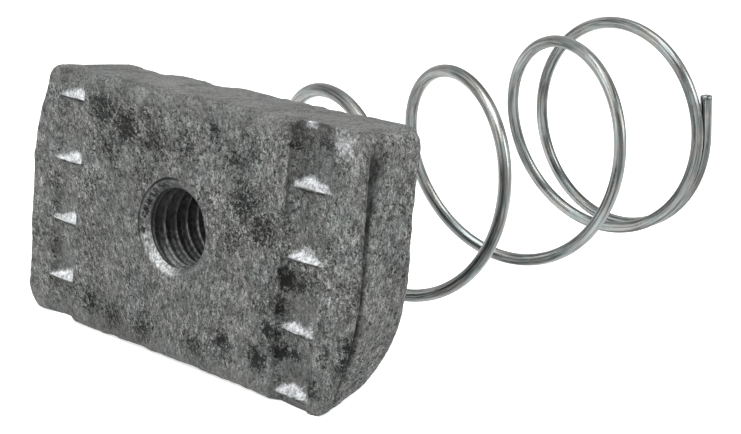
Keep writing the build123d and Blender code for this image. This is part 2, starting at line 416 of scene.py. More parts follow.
def hole_place(s, x, z, rim):
    """Turn the squares round the hole into circles, fading out away from it, with the rim at its radius."""
    square = np.maximum(abs(x), abs(z))
    fade = 1 - rising(square - s.front_sink, 0, 2.6)
    factor = 1 - fade + fade * square / np.maximum(np.hypot(x, z), 1e-9)
    calm = s.front_sink + 2 * MM
    ring = np.interp(square, [s.bore, s.front_sink, calm, s.length], [s.bore, rim, calm, s.length])
    return *(v * factor * ring / np.maximum(square, 1e-9) for v in (x, z)), square


def edge_place(inset, radius, drawn):
    """Distance from an edge once the band along it, drawn at one width, is as wide as its radius."""
    near = inset * radius / drawn
    beyond = radius + (inset - drawn) * (3 * drawn - radius) / (2 * drawn)
    return np.where(inset < drawn, near, np.where(inset < 3 * drawn, beyond, inset))


def face_sheet(s, columns, rows, front):
    """Points of the toothed face or of the back on a grid, with the masks for their finish, painted shade and
    highlight among them.

    The depth below the flat face is the softer maximum of the groove's depth and of the edge's quarter
    circle, which is the radius less the root of its square minus the square of radius less inset.
    """
    half, side, drawn = s.length / 2, s.width / 2, s.front_round
    x, z = np.broadcast_to(columns, rows.shape), rows
    from_end, from_side = half - abs(x), side - abs(z)
    flat = np.stack([x, 0 * x, z], -1)
    rim, cut, radius = s.back_sink, s.turn_cut_back, np.full(rows.shape, s.back_round)
    if front:
        rim, cut = s.front_sink, s.turn_cut_front
        radius = drawn * (1 - 0.22 * x / half + 0.11 * ripple(flat, 9 * MM, 3))
    inset = edge_place(np.minimum(from_end, from_side), radius, drawn)
    x = np.sign(x) * (half - edge_place(from_end, radius, drawn))
    z = np.sign(z) * (side - edge_place(from_side, radius, drawn))
    x, z = outline_place(s, x, z, 1.2 * drawn, cut)
    x, z, square = hole_place(s, x, z, rim)
    away = np.clip(radius - inset, 0, radius)
    rounding = radius - np.sqrt(np.maximum(radius**2 - away**2, 0))
    radial = np.hypot(x, z)
    sink = np.where(square < s.front_sink + 0.01 * MM, np.clip(rim - radial, 0, rim - s.bore), 0)
    # corner carries painted shade
    groove, struck, corner, worn_and_shaded = groove_depth(s, x, z) if front else np.zeros((4, *x.shape))
    depth = soft_max(groove, rounding) + sink
    bare = smooth((rim + 0.03 * MM - radial) / (0.08 * MM))
    y = -s.thickness / 2 + depth if front else s.thickness / 2 - depth
    # worn smooth near the long edges, with a darker even tone that is partly painted shade
    worn_and_shaded = np.maximum(worn_and_shaded, 0.9 * smooth(1.6 - from_side / (1.6 * drawn)))
    return np.stack([x, y, z], -1), np.stack([bare, struck * (1 - bare), corner, worn_and_shaded], -1)


def bells(points, spots):
    """Largest of the curves round some spots: strength times the bell of distance over radius."""
    distances = [np.linalg.norm(points / MM - place, axis=-1) / radius for *place, radius, _ in spots]
    return np.max([spot[-1] * bell(distance) for spot, distance in zip(spots, distances)], 0)


def ring_of(numbers):
    """Numbers along the four edges of a grid, once round."""
    return np.concatenate([numbers[0, :-1], numbers[:-1, -1], numbers[-1, :0:-1], numbers[:0:-1, 0]])


def quads_of(numbers):
    """The four corners of every cell of a grid of point numbers."""
    corners = [numbers[:-1, :-1], numbers[:-1, 1:], numbers[1:, 1:], numbers[1:, :-1]]
    return np.stack(corners, -1).reshape(-1, 4)


def belt(first, last, rows, start):
    """Quads from one ring of numbers to another through rows of points numbered from start."""
    count = len(first)
    middle = start + np.arange(rows * count).reshape(rows, count)
    grid = np.concatenate([first[None], middle, last[None]])
    return quads_of(np.concatenate([grid, grid[:, :1]], 1))


def side_wall(s, front, back, rows):
    """Rows of points between the front and back outlines, with the crease pressed in along both ends.

    The crease is a bell curve of the distance from the face, wider and further back towards the sheared
    corner, times a strength that fades towards the round one. Painted shade darkens the crease, and the
    ends take painted shade near their back edge.
    """
    share_down = runs([0.0, 0.3, 1.0], [rows // 2 + 1, rows - rows // 2])[1:-1, None, None]
    wall = front + (back - front) * share_down
    along = np.roll(front, -1, 0) - np.roll(front, 1, 0)
    normal = unit(np.stack([along[:, 2], 0 * along[:, 0], -along[:, 0]], -1))
    normal *= np.sign((normal * front).sum(1, keepdims=True))
    below = wall[..., 1] + s.thickness / 2
    out = abs(wall[..., 0])
    up = wall[..., 2] * np.sign(wall[..., 0])
    rise = rising(up, 0, 8)
    centre = (1.14 + 0.2 * rise) * MM + 0.06 * MM * ripple(wall, 6 * MM, 11)
    width = (0.2 + 0.5 * rise) * MM
    high_part = rising(out, 15.2, 0.8) * rising(s.width / 2 - up, 0.7, 1.2)
    low_part = 0.9 * rising(out, 13.6, 1) * (up < 0)
    crease = np.maximum(high_part, low_part) * rising(up, -10, 3) * bell((below - centre) / width)
    wall = wall - normal * (crease * s.crease_depth)[..., None]
    # painted shade along the back edge of each end
    rear_shade_start = (4.6 + 0.7 * smooth(up / (8 * MM) + 0.5)) * MM
    rear_shade = 0.55 * rising(below - rear_shade_start, 0, 1.1) * rising(out, 12, 2)
    # flat top and bottom faces worn smooth, with a darker even tone that is partly painted shade against the
    # overhead lamp
    worn_and_shaded = 0.9 * smooth((abs(normal[:, 2]) - 0.6) / 0.3) + 0 * crease
    # the third mask is painted shade: in the crease and near the back edge
    return wall, np.stack([0 * crease, 0 * crease, np.clip(crease * 1.5 + rear_shade, 0, 1), worn_and_shaded], -1)


def bore_wall(s, front, back, rows):
    """Rows of points down the hole: the radius is the bore plus the thread's depth times a rounded V.

    The V's place is the distance down the hole in pitches less the turn from upright towards +X. The crests
    carry a painted highlight along a thin bell curve, stronger on the lit lower left side, where finer
    painted highlight lines run beside them as a cosine. The rest of the hole takes painted shade.
    """
    down = np.linspace(0, 1, rows + 2)[1:-1, None]
    y = front[:, 1] + (back[:, 1] - front[:, 1]) * down
    turn = np.arctan2(front[:, 0], front[:, 2]) + 0 * y
    place = (y / s.thread_pitch - turn / (2 * np.pi) - s.thread_start) % 1
    groove = np.clip(1.15 * (1 - abs(2 * place - 1)) - 0.12, 0, 1)
    fade = smooth(down / 0.1) * smooth((1 - down) / 0.08)
    radius = s.bore + s.thread_depth * groove**0.9 * fade
    points = np.stack([radius * np.sin(turn), y, radius * np.cos(turn)], -1)
    # painted highlights: on the crests, and as fine lines on the lower left side, which faces the lamps
    lit = smooth(1.6 * np.cos(turn + 2.7) - 0.6)
    crest_highlight = bell((0.5 - abs(place - 0.5)) / 0.09) * (0.55 + 0.6 * lit) * (1 - 0.3 * down)
    lit_lines = 0.85 * lit * (0.5 + 0.5 * np.cos(8 * np.pi * place)) * (1 - 0.5 * down)
    shine = np.clip(np.maximum(1.3 * crest_highlight, lit_lines) * fade, 0, 1)
    # the third mask, painted shade, covers the hole wherever the painted highlight is missing
    return points, np.stack([0 * shine + 1, 0 * shine, 1 - shine, 0 * shine], -1)


def put_object(name, data):
    """An object in the scene."""
    made = bpy.data.objects.new(name, data)
    bpy.context.scene.collection.objects.link(made)
    return made


def put_mesh(name, points, faces, layers):
    """A shaded mesh object from points and quads, with layers of numbers or vectors as point attributes.

    A quad with doubled corners, as in the fan that closes a tube, becomes a triangle.
    """
    used, faces = np.unique(faces, return_inverse=True)
    mesh = bpy.data.meshes.new(name)
    mesh.from_pydata(points[used], [], [tuple(dict.fromkeys(face)) for face in faces.reshape(-1, 4).tolist()])
    for label, values in layers.items():
        kind, field = ("FLOAT", "value") if values.ndim == 1 else ("FLOAT_VECTOR", "vector")
        layer = mesh.attributes.new(label, kind, "POINT")
        layer.data.foreach_set(field, values[used].astype(np.float32).ravel())
    tidy = bmesh.new()
    tidy.from_mesh(mesh)
    bmesh.ops.recalc_face_normals(tidy, faces=tidy.faces)
    tidy.to_mesh(mesh)
    tidy.free()
    mesh.shade_smooth()
    return put_object(name, mesh)


def dent(mesh, s):
    """Move each point along its own normal by slow waves and small dents, set a little inwards.

    Cut metal stays as it is, and every point stays inside the nut's box.
    """
    places = np.empty(len(mesh.vertices) * 3)
    normals = np.empty_like(places)
    bare = np.empty(len(mesh.vertices), np.float32)
    mesh.vertices.foreach_get("co", places)
    mesh.vertex_normals.foreach_get("vector", normals)
    mesh.attributes["bare"].data.foreach_get("value", bare)
    places, normals = places.reshape(-1, 3), normals.reshape(-1, 3)
    slow = s.wave * (ripple(places, 8 * MM, 21) - 0.25)
    small = s.dent * (ripple(places, 1.7 * MM, 22) - 0.3) + 0.5 * s.dent * ripple(places, 0.7 * MM, 23)
    places = places + normals * ((1 - bare) * (slow + small))[:, None]
    mesh.vertices.foreach_set("co", np.clip(places, np.array(NUT_LOW), np.array(NUT_HIGH)).ravel())
    mesh.update()


def nut_grid(s):
    """Columns across the nut, rows up its middle, and each column's own rows, gathered round the crests."""
    half, side, edge, land = s.length / 2, s.width / 2, s.front_round, s.land_half
    bend = edge * (1 - np.cos(np.linspace(np.pi / 2, 0, 8)[1:]))
    hole = [0, s.bore, s.front_sink]
    stops = hole + [6.6 * MM, land - 0.1 * MM, land + 0.6 * MM, land + 2.8 * MM, half - edge]
    columns = both_ways(np.concatenate([runs(stops, [10, 4, 11, 21, 10, 14, 16]), half - bend]))
    middle = both_ways(np.concatenate([runs(hole + [side - edge], [22, 4, 42]), side - bend]))
    inner = slice(len(bend), -len(bend))
    rows = np.repeat(middle[:, None], len(columns), 1)
    for sign, crests in ((-1, LEFT_CRESTS), (1, RIGHT_CRESTS)):
        drifted = middle.copy()
        drifted[inner] = gathered(edge - side, side - edge, len(middle[inner]), np.array(crests) * MM)
        weight = smooth((sign * columns - 6.6 * MM) / (land - 6.8 * MM))
        rows = rows + weight * (drifted - middle)[:, None]
    return columns, middle, rows


def build_nut(s):
    """The whole nut as one closed surface: face, edge, wall, back and threaded hole."""
    columns, middle, rows = nut_grid(s)
    parts = [face_sheet(s, columns, rows, front) for front in (True, False)]
    front, back = (sheet.reshape(-1, 3) for sheet, _ in parts)
    numbers, size = np.arange(rows.size).reshape(rows.shape), rows.size
    hole_sides = (-s.bore, s.bore)
    left, right, low, high = (np.argmin(abs(line - v)) for line in (columns, middle) for v in hole_sides)
    solid = np.ones((rows.shape[0] - 1, rows.shape[1] - 1), bool)
    solid[low:high, left:right] = False
    sheet = quads_of(numbers)[solid.ravel()]
    outer, hole = ring_of(numbers), ring_of(numbers[low : high + 1, left : right + 1])
    wall_rows, bore_rows = 20, 84
    parts.append(side_wall(s, front[outer], back[outer], wall_rows))
    parts.append(bore_wall(s, front[hole], back[hole], bore_rows))
    points = np.concatenate([places.reshape(-1, 3) for places, _ in parts])
    bare, struck, painted_shade, worn_and_shaded = np.concatenate([masks.reshape(-1, 4) for _, masks in parts]).T
    struck = np.maximum(struck, bells(points, BURNISHED) * (1 - bare))
    masks = dict(zip(NUT_MASKS, (bare, struck, painted_shade, worn_and_shaded, bells(points, BLOTCHES))))
    wall = belt(outer, outer + size, wall_rows, 2 * size)
    bore = belt(hole, hole + size, bore_rows, 2 * size + wall_rows * len(outer))
    piece = put_mesh("nut_body", points, np.concatenate([sheet, sheet + size, wall, bore]), masks)
    dent(piece.data, s)
    return piece


def seat_of(s, w):
    """Place of the seated wire's middle along the hole's axis."""
    return s.thickness / 2 + w.gap + w.wire / 2


def build_claws(s, w):
    """Three lugs bent over the seated turn: an arc-shaped band carried a short way round the hole.

    The band's inner line is a circle just clear of the wire. Its outer line stands off by a thickness that
    falls from the root to the lip, and its foot runs down into the nut.
    """
    seat = seat_of(s, w)
    bend = np.linspace(math.radians(235), math.radians(78), 22)
    inner = w.wire / 2 + w.gap
    outer = inner + np.interp(np.linspace(0, 1, 22), [0, 0.45, 0.85, 1], [1.0, 0.62, 0.4, 0.24]) * MM
    arc = np.stack([np.cos(bend), np.sin(bend)], -1)
    profile = np.concatenate([outer[:, None] * arc, inner * arc[::-1]])
    steps, count = 15, len(profile)
    swing = np.radians(11) * np.sin(np.linspace(-np.pi / 2, np.pi / 2, steps))
    pinch = 1 - 0.25 * (swing / swing[-1]) ** 8
    numbers = np.arange(steps * count).reshape(steps, count)
    pairs = np.stack([numbers[:, : count // 2], numbers[:, : count // 2 - 1 : -1]], -1)
    shell = [quads_of(np.concatenate([numbers, numbers[:, :1]], 1)), quads_of(pairs[0]), quads_of(pairs[-1])]
    all_points, all_faces = [], []
    for claw in range(3):
        turn = (w.start - 2 * np.pi * (0.08 + 0.2 * claw) + swing)[:, None]
        out = w.radius + profile[:, 0] * np.where(profile[:, 0] < -inner, pinch[:, None], 1)
        up = np.maximum(seat + profile[:, 1] + 0 * turn, s.thickness / 2 - 0.35 * MM)
        all_points.append(np.stack([out * np.sin(turn), up, out * np.cos(turn)], -1).reshape(-1, 3))
        all_faces += [quads + claw * steps * count for quads in shell]
    points = np.concatenate(all_points)
    masks = {label: np.full(len(points), 0.6 if label == "worn_and_shaded" else 0.0) for label in NUT_MASKS}
    return put_mesh("nut_claws", points, np.concatenate(all_faces), masks)


def eased_run(turns, width):
    """Distance gone while the speed eases from 0 to 1: width times the cube less half the fourth power."""
    part = np.clip(turns / width, 0, 1)
    return width * (part**3 - part**4 / 2) + np.maximum(turns - width, 0)


def coil_path(s, w, turn):
    """Middle of the wire after some turns: a circle whose radius, centre and height follow the rise."""
    rise = w.pitch * eased_run(turn - w.seat_turns, w.lift_turns)
    rise = rise - (w.pitch - w.closed_pitch) * eased_run(turn - w.close_start, w.close_turns)
    reach = rise / w.reach
    radius = w.radius - w.waist * reach + w.flare * reach**2
    angle = w.start - 2 * np.pi * turn
    tip = w.tilt * (np.sin(angle) + np.cos(angle)) * smooth(turn - w.tilt_start)
    x = w.lean_x * reach + w.bend_x * reach**2 + radius * np.sin(angle)
    z = w.lean_z * reach + w.bend_z * reach**2 + radius * np.cos(angle)
    return np.stack([x, seat_of(s, w) + rise - tip, z], -1)


def build_spring(s, w):
    """The wire: a circle carried along the coil, closed by a small chamfer and a flat cut at each end.

    It is a hair thinner than the solid's. The point attribute wire_place holds each point's place as if the
    wire were straight.
    """
    path = coil_path(s, w, np.linspace(0, w.turns, 1500))
    last = unit(path[-1:] - path[-2:-1])
    path = np.concatenate([path, path[-1] + last * np.linspace(0, w.stub, 9)[1:, None]])
    along = unit(np.gradient(path, axis=0))
    side = unit(np.cross(along, (0, 1, 0)))
    up = np.cross(side, along)
    run = np.concatenate([[0], np.cumsum(np.linalg.norm(np.diff(path, axis=0), axis=1))])
    chamfer = np.array([[0.0], [0.0], [0.1 * MM]])
    ends = path[0] + along[0] * chamfer, path[-1] - along[-1] * chamfer[::-1]
    centre = np.concatenate([ends[0], path[1:-1], ends[1]])
    end_sizes = [0.0, 0.82, 1.0]
    grow = np.concatenate([end_sizes, np.ones(len(path) - 2), end_sizes[::-1]])
    side, up, run = (np.concatenate([v[[0] * 3], v[1:-1], v[[-1] * 3]]) for v in (side, up, run))
    turn = np.linspace(0, 2 * np.pi, w.around, endpoint=False)
    radius = (w.wire / 2 * HAIR_THINNER * grow)[:, None]
    place_side, place_up = radius * np.cos(turn), radius * np.sin(turn)
    points = centre[:, None] + place_side[..., None] * side[:, None] + place_up[..., None] * up[:, None]
    place = np.stack([place_side, place_up, np.repeat(run[:, None], w.around, 1)], -1)
    numbers = np.arange(points.shape[0] * w.around).reshape(points.shape[:2])
    numbers[0], numbers[-1] = numbers[0, 0], numbers[-1, 0]
    faces = quads_of(np.concatenate([numbers, numbers[:, :1]], 1))
    cut = np.zeros(numbers.shape)
    cut[:2], cut[-2:] = 1, 1
    layers = {"bare": cut.ravel(), "wire_place": place.reshape(-1, 3)}
    return put_mesh("spring_wire", points.reshape(-1, 3), faces, layers)


def supply(tree, node, inputs):
    """Give each of a node's inputs a value or a link."""
    for name, value in inputs.items():
        if isinstance(value, bpy.types.NodeSocket):
            tree.links.new(value, node.inputs[name])
        else:
            node.inputs[name].default_value = value


def put(tree, kind, inputs=None, **settings):
    """Add a node, set it up, and supply its inputs."""
    node = tree.nodes.new(kind)
    for name, value in settings.items():
        setattr(node, name, value)
    supply(tree, node, inputs or {})
    return node


def maths(tree, operation, *values):
    """Output of a maths node."""
    return put(tree, "ShaderNodeMath", dict(enumerate(values)), operation=operation).outputs[0]


def times(tree, first, second):
    """Product of two values."""
    return maths(tree, "MULTIPLY", first, second)


def sloped(tree, value, slope, base):
    """A value times its slope, plus a base."""
    return maths(tree, "MULTIPLY_ADD", value, slope, base)


def larger(tree, first, second):
    """Larger of two values."""
    return maths(tree, "MAXIMUM", first, second)


def less(tree, first, second):
    """Difference of two values."""
    return maths(tree, "SUBTRACT", first, second)


def apart(tree, first, second):
    """Distance between two values."""
    return maths(tree, "ABSOLUTE", less(tree, first, second))


def vector_maths(tree, operation, first, second=None, output=0):
    """Output of a vector maths node."""
    inputs = {0: first} if second is None else {0: first, 1: second}
    return put(tree, "ShaderNodeVectorMath", inputs, operation=operation).outputs[output]


def span(tree, value, low, high, to_low=0.0, to_high=1.0):
    """A value moved smoothly from one span to another, and held there."""
    inputs = {"Value": value, "From Min": low, "From Max": high, "To Min": to_low, "To Max": to_high}
    return put(tree, "ShaderNodeMapRange", inputs, interpolation_type="SMOOTHSTEP").outputs[0]


def blended(tree, factor, first, second, blend="MIX"):
    """Mix of two colours."""
    node = put(tree, "ShaderNodeMix", {0: factor, 6: first, 7: second}, data_type="RGBA", blend_type=blend)
    return node.outputs[2]


def noise(tree, vector, scale, detail=2.0, rough=0.5, bend=0.0):
    """Value of a noise texture."""
    inputs = {"Vector": vector, "Scale": scale, "Detail": detail, "Roughness": rough, "Distortion": bend}
    return put(tree, "ShaderNodeTexNoise", inputs).outputs[0]


def new_group(name, inputs, outputs):
    """A node group with named sockets: its tree, its inputs, and a function that feeds an output."""
    tree = bpy.data.node_groups.new(name, "ShaderNodeTree")
    for label, kind, value in inputs:
        socket = tree.interface.new_socket(label, in_out="INPUT", socket_type=kind)
        if value is not None:
            socket.default_value = value
    for label, kind in outputs:
        tree.interface.new_socket(label, in_out="OUTPUT", socket_type=kind)
    given, out = tree.nodes.new("NodeGroupInput"), tree.nodes.new("NodeGroupOutput")
    return tree, given.outputs, lambda label, value: tree.links.new(value, out.inputs[label])


def use_group(tree, group, inputs):
    """Place a group in a tree."""
    return put(tree, "ShaderNodeGroup", inputs, node_tree=group).outputs


def grain_group():
    """Fine strokes drawn out along one direction: noise on stretched coordinates."""
    name = "drawn_grain"
    if name in bpy.data.node_groups:
        return bpy.data.node_groups[name]
    sockets = [("Vector", VECTOR, None), ("Stretch", VECTOR, (1, 1, 1))]
    sockets += [("Scale", FLOAT, 5000.0), ("Contrast", FLOAT, 0.25)]
    tree, given, feed = new_group(name, sockets, [("Strokes", FLOAT)])
    place = vector_maths(tree, "MULTIPLY", given["Vector"], given["Stretch"])
    value = noise(tree, place, given["Scale"], 3.0, 0.6, 0.2)
    low = less(tree, 0.5, given["Contrast"])
    high = maths(tree, "ADD", 0.5, given["Contrast"])
    feed("Strokes", span(tree, value, low, high))
    return tree


def patch_group():
    """Slow patches of tone, and a faint tint that drifts between green and brown."""
    name = "metal_patches"
    if name in bpy.data.node_groups:
        return bpy.data.node_groups[name]
    sockets = [("Vector", VECTOR, None), ("Scale", FLOAT, 250.0), ("Tint", FLOAT, 0.5)]
    tree, given, feed = new_group(name, sockets, [("Tone", FLOAT), ("Colour", COLOUR)])
    value = noise(tree, given["Vector"], given["Scale"], 4.0, 0.62, 0.4)
    feed("Tone", span(tree, value, 0.3, 0.7))
    drift = noise(tree, given["Vector"], times(tree, given["Scale"], 1.7), 3.0, 0.6, 0.6)
    warm = blended(tree, span(tree, drift, 0.36, 0.64), (0.86, 1.06, 1.0, 1), (1.12, 1.0, 0.86, 1))
    feed("Colour", blended(tree, given["Tint"], (1, 1, 1, 1), warm))
    return tree


def drawn(tree, vector, stretch, scale, contrast):
    """Value of the fine strokes."""
    inputs = {"Vector": vector, "Stretch": stretch, "Scale": scale, "Contrast": contrast}
    return use_group(tree, grain_group(), inputs)[0]


def scaled_colour(tree, base, factor):
    """A colour times a number."""
    return put(tree, "ShaderNodeVectorMath", {0: base, "Scale": factor}, operation="SCALE").outputs[0]


def bumped(tree, strength, distance, height):
    """Normal of a bump."""
    inputs = {"Strength": strength, "Distance": distance, "Height": height}
    return put(tree, "ShaderNodeBump", inputs).outputs[0]


def attribute(tree, label):
    """Outputs of a point attribute."""
    return put(tree, "ShaderNodeAttribute", attribute_name=label).outputs


def new_material(name):
    """A node material with only its output and its Principled shader."""
    material = bpy.data.materials.new(name)
    material.use_nodes = True
    tree = material.node_tree
    return material, tree, tree.nodes["Principled BSDF"]


def slanted(tree, place):
    """Coordinates sheared so that strokes lean over on the -X side of the face and stand upright on +X."""
    parts = put(tree, "ShaderNodeSeparateXYZ", {"Vector": place}).outputs
    lean = span(tree, parts["X"], -0.009, 0.006, 0.38, 0.0)
    x = sloped(tree, parts["Z"], lean, parts["X"])
    return put(tree, "ShaderNodeCombineXYZ", {"X": x, "Y": parts["Y"], "Z": parts["Z"]}).outputs[0]


def rim_group():
    """Masks round the tapped hole: a painted shadow line outside its upper left rim, a painted highlight on
    its lower left, and its upper left ring.
    """
    name = "hole_rim"
    if name in bpy.data.node_groups:
        return bpy.data.node_groups[name]
    sockets = [("Vector", VECTOR, None), ("Radius", FLOAT, 0.00368)]
    tree, given, feed = new_group(name, sockets, [(label, FLOAT) for label in ("Line", "Lower Highlight", "Upper")])
    flat = vector_maths(tree, "MULTIPLY", given["Vector"], (1, 0, 1))
    away = vector_maths(tree, "LENGTH", flat, output="Value")
    heading = vector_maths(tree, "NORMALIZE", flat)
    upper = vector_maths(tree, "DOT_PRODUCT", heading, (-0.9, 0, 0.44), "Value")
    lower = vector_maths(tree, "DOT_PRODUCT", heading, (-0.64, 0, -0.77), "Value")
    off = apart(tree, away, given["Radius"])
    # painted shadow line outside the upper left rim
    feed("Line", times(tree, span(tree, off, 0.00008, 0.00016, 1.0, 0.0), span(tree, upper, 0.1, 0.6)))
    # painted highlight on the lower left
    feed("Lower Highlight", span(tree, lower, 0.55, 0.95))
    on_ring = span(tree, away, 0.00305, 0.00315)
    feed("Upper", times(tree, span(tree, upper, 0.2, 0.8), on_ring))
    return tree


def coat_tone(tree, strokes, grain, coarse, slow, worn_and_shaded):
    """Brightness of the coat: the product of its strokes, grain and patches, evened out and darkened where it
    is worn, which is partly painted shade on the lamp-lit top.
    """
    rough_tone = times(tree, sloped(tree, strokes, 0.85, 0.55), sloped(tree, grain, 0.8, 0.58))
    rough_tone = times(tree, rough_tone, sloped(tree, coarse, 0.7, 0.62))
    smooth_tone = sloped(tree, grain, 0.5, sloped(tree, strokes, 0.3, 0.4))
    sides = {0: times(tree, worn_and_shaded, 0.72), 2: rough_tone, 3: smooth_tone}
    tone = put(tree, "ShaderNodeMix", sides, data_type="FLOAT").outputs[0]
    return times(tree, tone, sloped(tree, slow, 0.5, 0.75))


def coat_dirt_and_shade(tree, place, leaning, coarse, masks, rim_shadow):
    """Dark pits, cracks and specks all over, ragged clusters in the blotches, and painted shade in corners
    and creases and along the hole's upper left rim.
    """
    region = span(tree, noise(tree, place, 230.0, 3.0, 0.6), 0.42, 0.62)
    pits = span(tree, noise(tree, leaning, 2300.0, 4.0, 0.8, 0.6), 0.53, 0.64)
    off = apart(tree, noise(tree, leaning, 1700.0, 4.0, 0.75, 0.8), 0.5)
    cracks = span(tree, off, 0.008, 0.034, 1.0, 0.0)
    speck = span(tree, noise(tree, leaning, 3700.0, 2.0, 0.6, 0.4), 0.585, 0.635)
    dirt_and_shade = times(tree, larger(tree, pits, cracks), sloped(tree, region, 0.68, 0.32))
    dirt_and_shade = larger(tree, dirt_and_shade, times(tree, speck, 0.85))
    ragged = sloped(tree, masks["blotch"], 0.27, noise(tree, leaning, 3000.0, 4.0, 0.85, 0.6))
    spot = times(tree, span(tree, ragged, 0.6, 0.68), span(tree, masks["blotch"], 0.03, 0.25))
    dirt_and_shade = larger(tree, dirt_and_shade, spot)
    coated = less(tree, 1.0, masks["bare"])
    # painted shade from the shade mask, on coated metal only
    cavity_shade = times(tree, masks["painted_shade"], span(tree, coarse, 0.0, 1.0, 1.0, 0.75))
    dirt_and_shade = larger(tree, dirt_and_shade, times(tree, cavity_shade, coated))
    dirt_and_shade = times(tree, dirt_and_shade, sloped(tree, masks["worn_and_shaded"], -0.4, 0.95))
    # painted shadow line outside the hole's upper left rim
    return larger(tree, dirt_and_shade, times(tree, rim_shadow, coated))


def burnished_and_highlit(tree, place, struck):
    """How bright the struck metal is, partly burnished zinc and partly painted highlight: its mask made
    ragged by noise.
    """
    uneven = noise(tree, place, 2100.0, 4.0, 0.8)
    ragged = sloped(tree, uneven, 1.9, less(tree, struck, 0.95))
    return times(tree, span(tree, ragged, 0.2, 1.15), span(tree, struck, 0.03, 0.3))


def cut_tone(tree, place, strokes, painted_shade, rim):
    """Brightness of the countersink and thread: a painted highlight at the lower left, black flecks at the
    upper left, and painted shade down the hole.
    """
    tone = times(tree, sloped(tree, strokes, 0.7, 0.35), sloped(tree, rim["Lower Highlight"], 1.5, 0.75))
    black = times(tree, span(tree, noise(tree, place, 2100.0, 3.0, 0.7), 0.42, 0.56), rim["Upper"])
    tone = times(tree, tone, sloped(tree, black, -0.95, 1.0))
    # painted shade, leaving only the painted highlights on the thread
    return times(tree, tone, sloped(tree, painted_shade, -0.985, 1.0))


def galvanised(colours):
    """Weathered hot-dip zinc: grey with strokes, patches and black clusters, bright where struck, partly as
    painted highlight, with painted shade in corners, creases and the hole.
    """
    name = "galvanised_steel_finish"
    if name in bpy.data.materials:
        return bpy.data.materials[name]
    material, tree, shader = new_material(name)
    place = put(tree, "ShaderNodeTexCoord").outputs["Object"]
    masks = {label: attribute(tree, label)["Fac"] for label in NUT_MASKS}
    leaning = slanted(tree, place)
    strokes = drawn(tree, leaning, (1, 1, 0.5), 5600.0, 0.12)
    grain = drawn(tree, place, (1, 1, 0.8), 9500.0, 0.16)
    coarse = drawn(tree, leaning, (1, 1, 0.7), 1700.0, 0.18)
    patches = use_group(tree, patch_group(), {"Vector": place, "Scale": 210.0, "Tint": 0.16})
    rim = use_group(tree, rim_group(), {"Vector": place})

    tone = coat_tone(tree, strokes, grain, coarse, patches["Tone"], masks["worn_and_shaded"])
    grey = blended(tree, 1.0, (*colours.zinc, 1), patches["Colour"], "MULTIPLY")
    dirt_and_shade = coat_dirt_and_shade(tree, place, leaning, coarse, masks, rim["Line"])
    # the dark colour also paints the shade
    coat = blended(tree, dirt_and_shade, scaled_colour(tree, grey, tone), (*colours.zinc_dark_and_shade, 1))
    bright = burnished_and_highlit(tree, place, masks["struck"])
    mottle = sloped(tree, grain, 0.4, sloped(tree, strokes, 0.5, 0.35))
    # bright struck colour: partly burnished zinc, partly painted highlight
    coat = blended(tree, bright, coat, scaled_colour(tree, (*colours.struck,), mottle))
    # cut metal with a painted highlight at the lower left and painted shade down the hole
    cut = scaled_colour(tree, (*colours.bare,), cut_tone(tree, place, strokes, masks["painted_shade"], rim))

    rough = maths(tree, "ADD", sloped(tree, strokes, 0.16, 0.46), times(tree, dirt_and_shade, 0.3))
    shiny = larger(tree, bright, times(tree, masks["bare"], 0.6))
    outside = less(tree, 1.0, times(tree, masks["painted_shade"], masks["bare"]))
    lumps = noise(tree, place, 1400.0, 3.0, 0.6)
    height = sloped(tree, strokes, 0.35, times(tree, lumps, 1.6))
    height = less(tree, height, times(tree, dirt_and_shade, 0.5))
    finish = {
        "Base Color": blended(tree, masks["bare"], coat, cut),
        "Roughness": less(tree, rough, times(tree, shiny, 0.16)),
        "Metallic": times(tree, outside, 0.55),
        "Specular IOR Level": 0.3,
        "Normal": bumped(tree, 0.55, 0.00006, height),
    }
    supply(tree, shader, finish)
    return material


def bright_wire(colours):
    """Zinc-plated drawn wire: streaks along its length over bright metal, partly drawing lines and partly
    painted reflections of darker surroundings, with dull patches.
    """
    name = "plated_wire_finish"
    if name in bpy.data.materials:
        return bpy.data.materials[name]
    material, tree, shader = new_material(name)
    place = attribute(tree, "wire_place")["Vector"]
    lines = drawn(tree, place, (1, 1, 0.035), 2600.0, 0.16)
    hair = drawn(tree, place, (1, 1, 0.06), 9000.0, 0.2)
    patches = use_group(tree, patch_group(), {"Vector": place, "Scale": 260.0, "Tint": 0.4})
    # dark streaks: partly drawing lines, partly painted reflection
    streak_and_reflection = times(tree, lines, sloped(tree, patches["Tone"], 0.5, 0.5))
    streak_and_reflection = sloped(tree, hair, 0.3, times(tree, streak_and_reflection, 0.85))
    metal = blended(tree, streak_and_reflection, (*colours.wire_streak_and_reflection, 1), (*colours.wire, 1))
    finish = {
        "Base Color": blended(tree, 1.0, metal, patches["Colour"], "MULTIPLY"),
        "Roughness": sloped(tree, patches["Tone"], 0.14, 0.24),
        "Metallic": 1.0,
        "Normal": bumped(tree, 0.4, 0.00003, lines),
    }
    supply(tree, shader, finish)
    return material


def seen_directly(tree):
    """1 for rays from the camera and for mirror and glass rays, 0 for the light that falls on things."""
    path = put(tree, "ShaderNodeLightPath").outputs
    bounced = larger(tree, path["Is Glossy Ray"], path["Is Transmission Ray"])
    return larger(tree, path["Is Camera Ray"], bounced)


